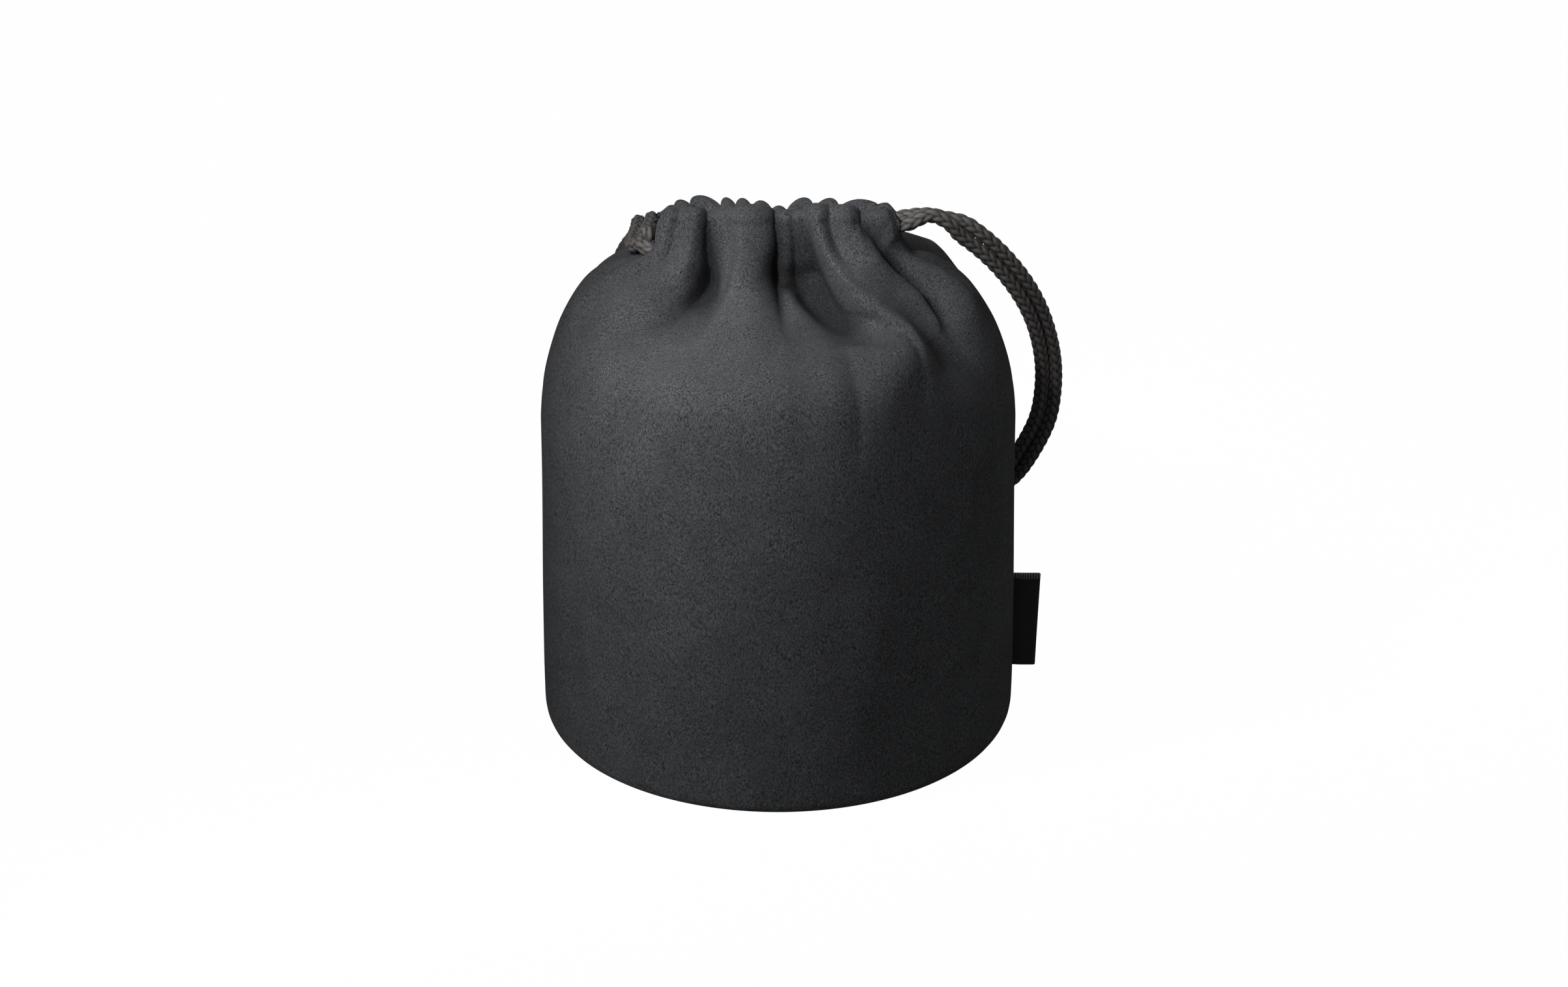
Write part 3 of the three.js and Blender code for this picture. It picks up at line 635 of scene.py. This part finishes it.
FRONT_FOLDS = [
    (6.5, 5.5, [
        (60, -33, -0.8), (57, -35, -2), (54, -37.2, -3), (50, -39.6, -3), (43, -40, -2.4), (36, -38, -1.3),
        (28, -34, 0),
    ]),
    (5, 5, [(66, -44, 0), (58, -47, 1), (52, -51, 1.8), (44, -52, 1.6), (34, -50, 0)]),
    (5.5, 1.2, [
        (69, -23, -0.8), (66, -23.2, -1.6), (60, -23, -2.2), (54, -23, -2.2), (48, -23, -1.7), (42, -23, -0.9),
        (36, -23, 0),
    ]),
    (1, 3, [(69, -20.5, 0.4), (66, -20.6, 0.9), (58, -20.3, 1), (50, -20.6, 0.9), (44, -20.6, 0.6), (38, -20.8, 0)]),
    (6, 6, [(62, -11.5, 0), (56, -11, 1), (50, -10.5, 1.5), (42, -9, 1.5), (34, -7.5, 0.8), (28, -7, 0)]),
    (1.3, 2.2, [
        (66, -1.6, 0), (60.3, -2.6, -0.8), (57, -2.2, -1.4), (52.8, -0.4, -1.3), (48, 1.1, -0.8), (44, 2, -0.3),
        (40, 2.8, 0),
    ]),
    (0.9, 0.9, [(56.9, -2.5, 0), (56.7, -1.3, -0.4), (55.4, 5.2, -0.9), (56, 14.5, -0.4), (56.3, 16.5, 0)]),
    (3, 5, [(59, 5, 0), (56, 7.5, -2), (52.5, 11, -3.2), (49, 15, -3), (45, 19.5, -1.8), (41, 24, 0)]),
    (8, 5, [
        (57, 18, 0), (54.5, 19.5, -0.8), (51.5, 21, -1.9), (48.2, 23, -2.8), (43.6, 26.4, -3), (39.1, 28.4, -2.2),
        (35.8, 29, -1), (33, 28, 0),
    ]),
    (5.5, 5.5, [
        (64, 20, 0), (59.8, 22, 0.6), (56, 24.4, 1.2), (50.8, 28, 2), (45, 31.8, 2.8), (39.7, 34.2, 3.8),
        (34, 33.6, 4), (30.4, 30.5, 3.4), (28.7, 25, 2), (29, 18, 0),
    ]),
    (1.6, 4, [
        (70, 36.5, -0.5), (68.7, 40.2, -1), (64.5, 49.9, -2), (58.9, 57.5, -2.4), (50.2, 58.5, -2.4),
        (41.7, 56.5, -1.6), (36, 53, 0),
    ]),
    (9, 9, [(58, 35, 0), (52, 42, -1.8), (44, 46, -3), (36, 46.5, -3.4), (28, 45, -2.4), (18, 42, 0)]),
    (4, 4, [(66, 63, 0), (58, 70, 1), (50, 70, 1.2), (40, 69, 1), (32, 69, 0)]),
    (5, 5, [(62, -69, 0), (50, -69, 1), (35, -71, 1), (24, -74, 0)]),
]
BACK_VALLEYS = [
    LEFT_SEAM,
    (0.3, 0.7, 40, 62, [(74, -52.5), (58, -58), (40, -62)]),
    (-0.05, 0.8, 36, 60, [(74, -27.5), (58, -30), (44, -37)]),
    (-0.1, 0.8, 44, 60, [(74, -15.8), (58, -17), (44, -19)]),
    (-0.15, 0.6, 46, 60, [(74, -3.4), (58, -5)]),
    (-0.15, 0.6, 46, 60, [(74, 3), (58, 2)]),
    (-0.1, 0.8, 34, 58, [(74, 11), (58, 13), (40, 16)]),
    (0.0, 0.8, 50, 62, [(74, 18.6), (58, 20)]),
    (0.0, 0.8, 34, 58, [(74, 25), (58, 29), (40, 36)]),
    (0.25, 0.8, 40, 60, [(74, 42.5), (58, 47), (40, 52)]),
    (0.3, 0.85, 46, 60, [(74, 56.3), (58, 62)]),
    RIGHT_SEAM,
]
BACK_CRESTS = [
    (0.7, 0.72, 50, 60, 0.0), (0.85, 0.84, 50, 60, 0.4), (0.7, 0.9, 50, 60, 0.0), (0.8, 1.0, 50, 60, -0.4),
    (0.15, 0.6, 46, 60, 0.0), (0.4, 0.8, 46, 60, 0.0), (0.5, 0.9, 46, 60, 0.0), (0.6, 0.9, 46, 60, 0.0),
    (1.15, 1.0, 50, 60, 0.6), (0.9, 1.0, 50, 60, 0.0), (0.4, 0.85, 44, 58, 0.0),
]
BACK_FOLDS = [
    (5, 5, [(60, -39, 0), (54, -42, 2.2), (42, -48, 2.2), (30, -51, 0)]),
    (4, 4, [(60, -29, 0), (54, -32, -2), (44, -37, -2.2), (32, -41, 0)]),
    (4, 3, [(60, 13, 0), (54, 14, -2.2), (44, 16, -2.2), (30, 19, 0)]),
    (5, 5, [(60, 35, 0), (54, 39, 2.4), (42, 44, 2.4), (30, 45, 0)]),
    (5, 5, [(58, -8, 0), (50, -8, 1.6), (42, -8, 1.4), (34, -6, 0)]),
]
BACK_LOWERED = 1.5


def bend_with_lip(piece):
    """Bakes the piece's placement into its points; it is not bent here."""
    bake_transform(piece)


half_turn = np.array([-1, -1, 1])
sheets = {
    "front": gathered_sheet(FRONT_VALLEYS, FRONT_CRESTS, FRONT_FOLDS, 0.0, 1),
    "back": gathered_sheet(BACK_VALLEYS, BACK_CRESTS, BACK_FOLDS, BACK_LOWERED, -1) * half_turn,
}
for half, facing in (("front", 1), ("back", -1)):
    for first, last, side in ((0, MIDDLE_COLUMN, -facing), (MIDDLE_COLUMN, COLUMNS - 1, facing)):
        cloth = sheet_half(f"{half}_cloth_{'right' if side > 0 else 'left'}", sheets[half], first, last)
        bend_with_lip(cloth)
        if side > 0:
            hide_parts(half + "_panel", half + "_gather", half + "_casing")


# Drawcords: two round braids of black polyester. Each goes all round inside the casing and comes out twice at
# one end of the mouth, the right one above the left one, as two strands that lie side by side to a knot.
CORD_RADIUS, KNOT_CORD_RADIUS = 1.6, 1.42
STRAND_OFFSET, KNOT_OFFSET = 1.45, 1.35
YARNS, PITCH, YARN_STEPS = 6, 14.4, 8
BRAID_STEP = PITCH / (YARNS * YARN_STEPS)
YARN_ARCH, YARN_WAVE, PLAIT_DEPTH, FILAMENT_LINES = 0.55, 0.45, 0.36, 44.0
KNOT_WIDTH, KNOT_DEPTH, KNOT_TOP, KNOT_LOW = 1.0, 0.21, 20.6, 9.4
KNOT_TAILS = [(0.2, 6), (1.0, 2.2)]
STRAND_INSIDE = [(22.0, 2.1, -2.0), (27.0, 2.0, -1.0)]
RUN_END, BRIDGE, BRIDGE_STEPS, TURN_REACH = 19.8, 3.4, 41, 2.8
LIP_HINGE, LIP_OPENING = (47.0, 81.85), math.radians(45)
RIGHT_ROUTE = [
    (31, 0.2, 113.4), (35.2, 0.8, 111.8), (40.9, 2, 107.6), (45.7, 3.6, 102.6), (49.4, 5.2, 97.6), (52.4, 7, 92.4),
    (54.6, 9, 87.2), (56.4, 11.2, 81), (57.6, 13.6, 74), (57.8, 16, 66.9), (57.1, 18.6, 59.6), (54.8, 22, 51.9),
    (50.9, 26.5, 42.9), (46.8, 31.2, 36.5), (44.7, 34.6, 32), (43.2, 37, 28), (42.5, 38.2, 24.5), (42.4, 38.4, 22),
]
RIGHT_PAIR = [
    (0, (0, 0.905, -0.42)), (0.02, (0, 0.905, -0.42)), (0.09, (0.5, 0.34, 0.725)), (0.35, (0.756, 0.277, 0.594)),
    (0.55, (1, 0, 0)), (0.7, (0.9, -0.18, -0.4)), (1, (0.737, 0.676, 0)),
]
LEFT_ROUTE = [
    (-27.6, 0.9, 107.9), (-29, 3.4, 106.2), (-29.2, 8.2, 105.2), (-28.6, 12.4, 104.9), (-28.2, 16.4, 105),
    (-28.1, 20.8, 104.3), (-28.5, 25.2, 100.8), (-29.8, 29.2, 97.1), (-31.9, 33, 93.2), (-33.6, 35.9, 87.2),
    (-34.6, 37.7, 78.1), (-35.6, 38.8, 69), (-36.8, 39.4, 60), (-38, 39.8, 50), (-39.2, 40.3, 40), (-39.9, 40.7, 30),
    (-40, 40.9, 22),
]
LEFT_PAIR = [
    (0, (0, 1, 0)), (0.015, (0.2, 0.9, 0.1)), (0.05, (0.84, 0.14, 0.52)), (0.12, (0.93, -0.08, 0.37)),
    (0.18, (0.96, 0.14, 0.23)), (0.26, (0.96, 0.24, -0.03)), (0.34, (0.83, 0.55, 0.06)), (0.5, (0.74, 0.67, 0.05)),
    (1, (0.6, 0.8, 0)),
]


def sine_of(tree, value, times):
    """The sine of a value times a number."""
    product = add_node(tree, "Math", {0: value, 1: times}, operation="MULTIPLY").outputs[0]
    return add_node(tree, "Math", {0: product}, operation="SINE").outputs[0]


def braided_polyester():
    """Braided polyester: bundles of smooth filament, each passing over two others and under two, with a soft gloss
    and fine filament lines. The colour is near black in the gaps between the plaits and pale along their
    backs: painted shade and a painted highlight, on top of the gloss's own glint."""
    material, tree, shader = start_material("braided_polyester")
    height = add_node(tree, "Attribute", attribute_name="height").outputs["Fac"]
    across = add_node(tree, "Attribute", attribute_name="filament").outputs["Fac"]
    lines = sine_of(tree, across, FILAMENT_LINES)
    # Painted shade and highlight: the colour runs from near black low in the braid to pale grey on the plaits' tops.
    tone = mixed_colour(tree, ranged(tree, height, 0.3, 0.85), "#040404", "#8a8684")
    set_inputs(tree, shader, {
        "Base Color": scaled(tree, tone, ranged(tree, lines, -1.0, 1.0, 0.75, 1.15)),
        "Normal": bumped(tree, lines, 0.25, 0.05), "Roughness": 0.48, "Specular IOR Level": 0.5,
    })
    return material


def carried_frame(path):
    """Two directions square to a line at each of its points, carried along it without twisting."""
    ahead = unit(np.gradient(path, axis=0))
    first = np.cross(ahead[0], [0.0, 1.0, 0.0] if abs(ahead[0][1]) < 0.8 else [1.0, 0.0, 0.0])
    sides = []
    for direction in ahead:
        first = first - direction * np.dot(first, direction)
        first = first / np.linalg.norm(first)
        sides.append(first)
    sides = np.array(sides)
    return sides, np.cross(ahead, sides)


def braid_height(turn, way):
    """How high the braid's surface stands, from 0 to 1, at angles round it and lengths along it, and how far
    across its yarn each spot lies: two sets of yarns wound opposite ways, each over two and under two."""
    round_about, forward = YARNS * turn[None, :] / (2 * math.pi), YARNS * way[:, None] / PITCH + 0.03
    right, left = round_about - forward, round_about + forward
    right_yarn, left_yarn = np.floor(right), np.floor(left)
    arch = lambda share: np.sqrt(np.maximum(1 - 0.96 * (2 * share - 1) ** 2, 0))
    right_top = YARN_ARCH * arch(right - right_yarn) + YARN_WAVE * np.sin(math.pi * ((right_yarn + left) % 4) / 2)
    left_top = YARN_ARCH * arch(left - left_yarn) - YARN_WAVE * np.sin(math.pi * ((right + left_yarn) % 4) / 2)
    height = np.clip(np.maximum(right_top, left_top), 0, 1)
    return height, np.where(right_top > left_top, right - right_yarn, left - left_yarn)


def braided_tube(name, path, material, radius=CORD_RADIUS, frame_sides=None, way=None):
    """A tube round a line, with the plaits of a braid raised on it. The directions of its rings, and the length
    of braid up to each of them, can be given where they don't follow from the line."""
    path = np.asarray(path, float)
    if way is None:
        way = way_along(path)
    sides = YARNS * YARN_STEPS
    turn = 2 * math.pi * (np.arange(sides) + 0.5) / sides
    height, filament = braid_height(turn, way)
    one, two = carried_frame(path) if frame_sides is None else frame_sides
    reach = radius - PLAIT_DEPTH * radius * (1 - height)
    points = path[:, None] + reach[..., None] * (
        one[:, None] * np.cos(turn)[None, :, None] + two[:, None] * np.sin(turn)[None, :, None]
    )
    return mesh_piece(
        name, points.reshape(-1, 3), tube_faces(len(path), sides), material,
        floats={"height": height.ravel(), "filament": filament.ravel()},
    )


def strand_lines(route, pair):
    """The front and the back strand's lines, each to its own side of the route."""
    middle = even_line(route, 4.0)
    ahead = unit(np.gradient(middle, axis=0))
    shares = np.linspace(0, 1, len(middle))
    marks, ways = zip(*pair)
    beside = np.stack([np.interp(shares, marks, [way[i] for way in ways]) for i in range(3)], 1)
    beside = unit(beside - ahead * np.sum(beside * ahead, axis=1, keepdims=True))
    return middle - STRAND_OFFSET * beside, middle + STRAND_OFFSET * beside


def knotted_line(place, beside):
    """A line through an overhand knot at a place, its loops lying to the sides along the given direction."""
    t = np.linspace(-2.1, 2.1, 61)
    loose = 1 - between(1.7, 2.1, np.abs(t))
    to_side = KNOT_WIDTH * (t ** 4 - 4 * t ** 2 + 2) * loose
    to_back = KNOT_DEPTH * (t ** 5 - 10 * t) * loose
    line = place * [1, 1, 0] + np.outer(to_side, beside) + np.outer(to_back, [-beside[1], beside[0], 0])
    line[:, 2] = (KNOT_TOP + KNOT_LOW) / 2 - (KNOT_TOP - KNOT_LOW) / 2 * (t ** 3 - 3 * t) / 2.96
    return line


braid = braided_polyester()
for hand, side, route, pair, run_drop, run_out, swing_start, swing_end in (
    ("right", 1, RIGHT_ROUTE, RIGHT_PAIR, 2.2, 3.0, (0.031, 0, 0), (0.036, 0, 0)),
    ("left", -1, LEFT_ROUTE, LEFT_PAIR, 1.2, 3.4, (0, 0.003, 0), (0, 0.013, 0)),
):
    level = route[0][2]
    low_end = np.array(route[-1])
    beside = unit(np.array(pair[-1][1]))
    for half, facing, line in zip(("front", "back"), (-1, 1), strand_lines(route, pair)):
        inside = [(side * x, facing * y, level + z) for x, y, z in STRAND_INSIDE]
        path = even_line(inside + line.tolist(), BRAID_STEP)
        strand = braided_tube(f"{hand}_cord_{half}_strand", path, braid)
        middle = knotted_line(low_end, beside)
        through = middle + facing * KNOT_OFFSET * carried_frame(middle)[0]
        tail = [
            low_end * [1, 1, 0] + beside * facing * (CORD_RADIUS + splay) + [0, 0, height]
            for splay, height in KNOT_TAILS
        ]
        knot_path = even_line(np.concatenate([path[-1:], through[3:-3:3], tail]), BRAID_STEP)
        knot = braided_tube(f"{hand}_knot_{half}", knot_path, braid, radius=KNOT_CORD_RADIUS)
        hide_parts(f"{hand}_{half}_strand", f"{hand}_{half}_exit")
        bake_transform(strand)
        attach(knot, f"{hand}_loop")
        if half == "front":
            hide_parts(f"{hand}_knot")

    run_level = level - run_drop
    for half, facing in (("front", -1), ("back", 1)):
        for way_out in (1, -1):
            straight = np.linspace(0, RUN_END, 67)
            bridge = np.linspace(RUN_END, RUN_END + BRIDGE, BRIDGE_STEPS)[1:]
            x = np.concatenate([straight, bridge]) * way_out
            path = np.stack([x, np.full_like(x, facing * run_out), np.full_like(x, run_level)], 1)
            from_hinge = (path[0] - [0, facing * LIP_HINGE[0], LIP_HINGE[1]]) * [0, 1, 1]
            outward = unit(from_hinge)
            along = np.cross([1.0, 0, 0], outward)
            swing = between(RUN_END - 2, RUN_END, np.abs(x))[:, None]
            one = np.repeat(outward[None], len(x), 0)
            two = unit(along * (1 - swing) * way_out + np.array([-1.0, 0, 0]) * swing * facing)
            spare = LIP_OPENING * np.linalg.norm(from_hinge)
            way = np.concatenate([straight, RUN_END + spare * np.linspace(0, 1, BRIDGE_STEPS)[1:]])
            run = braided_tube(
                f"{hand}_cord_{half}_run_{'right' if way_out > 0 else 'left'}", path, braid,
                frame_sides=(one, two), way=way,
            )
            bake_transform(run)
            if way_out == side:
                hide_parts(f"{hand}_cord_{half}_run")
    bend = np.linspace(-math.pi / 2, math.pi / 2, 40)
    turn_path = np.stack([
        -side * (RUN_END - CORD_RADIUS + TURN_REACH * np.cos(bend)), run_out * np.sin(bend),
        np.full_like(bend, run_level),
    ], 1)
    turn = braided_tube(f"{hand}_cord_turn_braid", even_line(turn_path, BRAID_STEP), braid)
    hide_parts(f"{hand}_cord_turn")
    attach(turn, "pouch")


# Label: a strip of satin-woven tape, folded in two so that the fold stands out, with both its cut ends caught
# in the right side seam near the base.
LABEL_LOW, LABEL_HIGH = (1000 * corner[2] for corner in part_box("label_flap"))
LABEL_END, LABEL_SLANT = 55.4, 0.7
TAPE_THICKNESS, TAPE_REACH, FOLD_RADIUS = 0.42, 8.6, 0.55
TAPE_RIB, EDGE_STITCH = 0.24, 0.55


def satin_tape():
    """Satin-woven polyester tape: long floating yarns, a quarter of a millimetre wide, side by side across the
    tape. The eye sees a smooth dark face with fine ribs and a dull shine, and a paler woven edge at the top."""
    material, tree, shader = start_material("satin_tape")
    cloth = add_node(tree, "UVMap", uv_map="cloth_mm").outputs["UV"]
    parts = add_node(tree, "SeparateXYZ", {"Vector": cloth})
    ribs = sine_of(tree, parts.outputs["Y"], 2 * math.pi / TAPE_RIB)
    stitches = sine_of(tree, parts.outputs["X"], 2 * math.pi / EDGE_STITCH)
    edge = ranged(tree, parts.outputs["Y"], LABEL_HIGH - 1.1, LABEL_HIGH - 0.9)
    pale = add_node(tree, "Math", {0: edge, 1: ranged(tree, stitches, -0.4, 0.4)}, operation="MULTIPLY").outputs[0]
    set_inputs(tree, shader, {
        "Base Color": mixed_colour(tree, pale, "#3e3e40", "#a6a7a9"), "Normal": bumped(tree, ribs, 0.3, 0.04),
        "Roughness": 0.42, "Specular IOR Level": 0.4,
    })
    return material


def folded_tape(name, material):
    """The folded tape as a closed skin: out from the seam, round the fold and back, from bottom to top."""
    heights = np.linspace(LABEL_LOW, LABEL_HIGH, 45)
    rise = (heights - LABEL_LOW) / (LABEL_HIGH - LABEL_LOW)
    turn = np.linspace(-math.pi / 2, math.pi / 2, 13)
    out = np.concatenate([
        np.linspace(-TAPE_REACH, -FOLD_RADIUS, 24)[:-1], FOLD_RADIUS * np.cos(turn) - FOLD_RADIUS,
        np.linspace(-FOLD_RADIUS, -TAPE_REACH, 24)[1:],
    ])
    beside = np.concatenate([np.full(23, -FOLD_RADIUS), FOLD_RADIUS * np.sin(turn), np.full(23, FOLD_RADIUS)])
    points = np.zeros((len(heights), len(out), 3))
    points[..., 0] = LABEL_END + FOLD_RADIUS + (rise * LABEL_SLANT - LABEL_SLANT / 2)[:, None] + out[None, :]
    near = between(-6.5, -3, out)[None, :]
    points[..., 1] = beside[None, :] * (0.45 + 0.55 * near)
    points[..., 1] += 0.35 * near * np.sin(2.4 * rise + 0.6)[:, None] - 0.2 * near
    points[..., 2] = heights[:, None] + 0.12 * near * np.sin(5 * rise)[:, None]
    normals = grid_normals(points)
    both = np.concatenate([points.reshape(-1, 3), (points - TAPE_THICKNESS * normals).reshape(-1, 3)])
    rows, columns = points.shape[:2]
    steps = np.concatenate([[0], np.cumsum(np.hypot(np.diff(out), np.diff(beside)))])
    flat = np.stack([np.repeat(steps[None], rows, 0).ravel(), np.repeat(heights[:, None], columns, 1).ravel()], 1)
    tape = mesh_piece(name, both, skin_faces(rows, columns), material, uvs=np.tile(flat, (2, 1)))
    return tape, steps[-1]


label, tape_length = folded_tape("label_tape", satin_tape())
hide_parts("label_flap", "label_tail")
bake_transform(label)


# Stage: a white floor that keeps a faint shadow, a weak light from all round, and two softboxes at the upper
# left, one for the side of the body and one for the gathered mouth.
CAMERA_DISTANCE, CAMERA_LENS, VIEW_HEIGHT = 900.0, 97.2, 25.0
AIM = (1.25, 0.0, 50.1)
PAPER_GLOW, PAPER_SHARE, SKY_LIGHT = 1.1, 0.9, 0.125
SOFTBOX_WIDTH, SOFTBOX_DISTANCE, SOFTBOX_ELEVATION = 0.05, 0.55, math.radians(40)

bpy.ops.object.select_all(action="DESELECT")
bpy.ops.mesh.primitive_plane_add(size=6)
floor = bpy.context.object
floor.name = "floor"
paper, tree, shader = start_material("white_paper")
to_camera = add_node(tree, "LightPath").outputs["Is Camera Ray"]
glow = add_node(tree, "Emission", {"Color": (1, 1, 1, 1), "Strength": PAPER_GLOW})
share = add_node(tree, "Math", {0: to_camera, 1: PAPER_SHARE}, operation="MULTIPLY")
set_inputs(tree, shader, {"Base Color": linear("#808080"), "Roughness": 0.9})
whole = add_node(tree, "MixShader", {0: share.outputs[0], 1: shader.outputs[0], 2: glow.outputs[0]})
set_inputs(tree, tree.nodes["Material Output"], {"Surface": whole.outputs[0]})
floor.data.materials.append(paper)

world = bpy.data.worlds.new("studio")
world.use_nodes = True
bpy.context.scene.world = world
sky = world.node_tree
to_camera = add_node(sky, "LightPath").outputs["Is Camera Ray"]
set_inputs(sky, sky.nodes["Background"], {
    "Color": (1, 1, 1, 1), "Strength": ranged(sky, to_camera, 0.0, 1.0, SKY_LIGHT, 1.0),
})


def softbox(name, azimuth, height, power, aim, spread):
    """An upright strip light with a grid, aimed at a spot from a direction in degrees, where azimuth 0 is the
    camera's side and the grid keeps its light within the spread."""
    lamp = bpy.data.lights.new(name, "AREA")
    lamp.shape = "RECTANGLE"
    lamp.size, lamp.size_y = SOFTBOX_WIDTH, height
    lamp.energy = power
    lamp.spread = math.radians(spread)
    light = bpy.data.objects.new(name, lamp)
    a, e = math.radians(azimuth), SOFTBOX_ELEVATION
    back = np.array([math.sin(a) * math.cos(e), -math.cos(a) * math.cos(e), math.sin(e)])
    light.location = back * SOFTBOX_DISTANCE + np.array(aim) * MM
    light.rotation_euler = (math.pi / 2 - e, 0, a)
    bpy.context.scene.collection.objects.link(light)


softbox("side_softbox", azimuth=-65, height=0.3, power=0.0245, aim=(-10, -44, 60), spread=15)
softbox("front_softbox", azimuth=-30, height=0.1, power=0.0125, aim=(-12, -18, 108), spread=12)

camera_data = bpy.data.cameras.new("camera")
camera_data.lens = CAMERA_LENS
camera_data.sensor_width = 36.0
camera = bpy.data.objects.new("camera", camera_data)
tilt = math.radians(VIEW_HEIGHT)
camera.location = [
    AIM[0] * MM, (AIM[1] - CAMERA_DISTANCE * math.cos(tilt)) * MM, (AIM[2] + CAMERA_DISTANCE * math.sin(tilt)) * MM
]
camera.rotation_euler = (math.pi / 2 - tilt, 0, 0)
bpy.context.scene.collection.objects.link(camera)
bpy.context.scene.camera = camera
bpy.context.scene.view_settings.view_transform = "Standard"
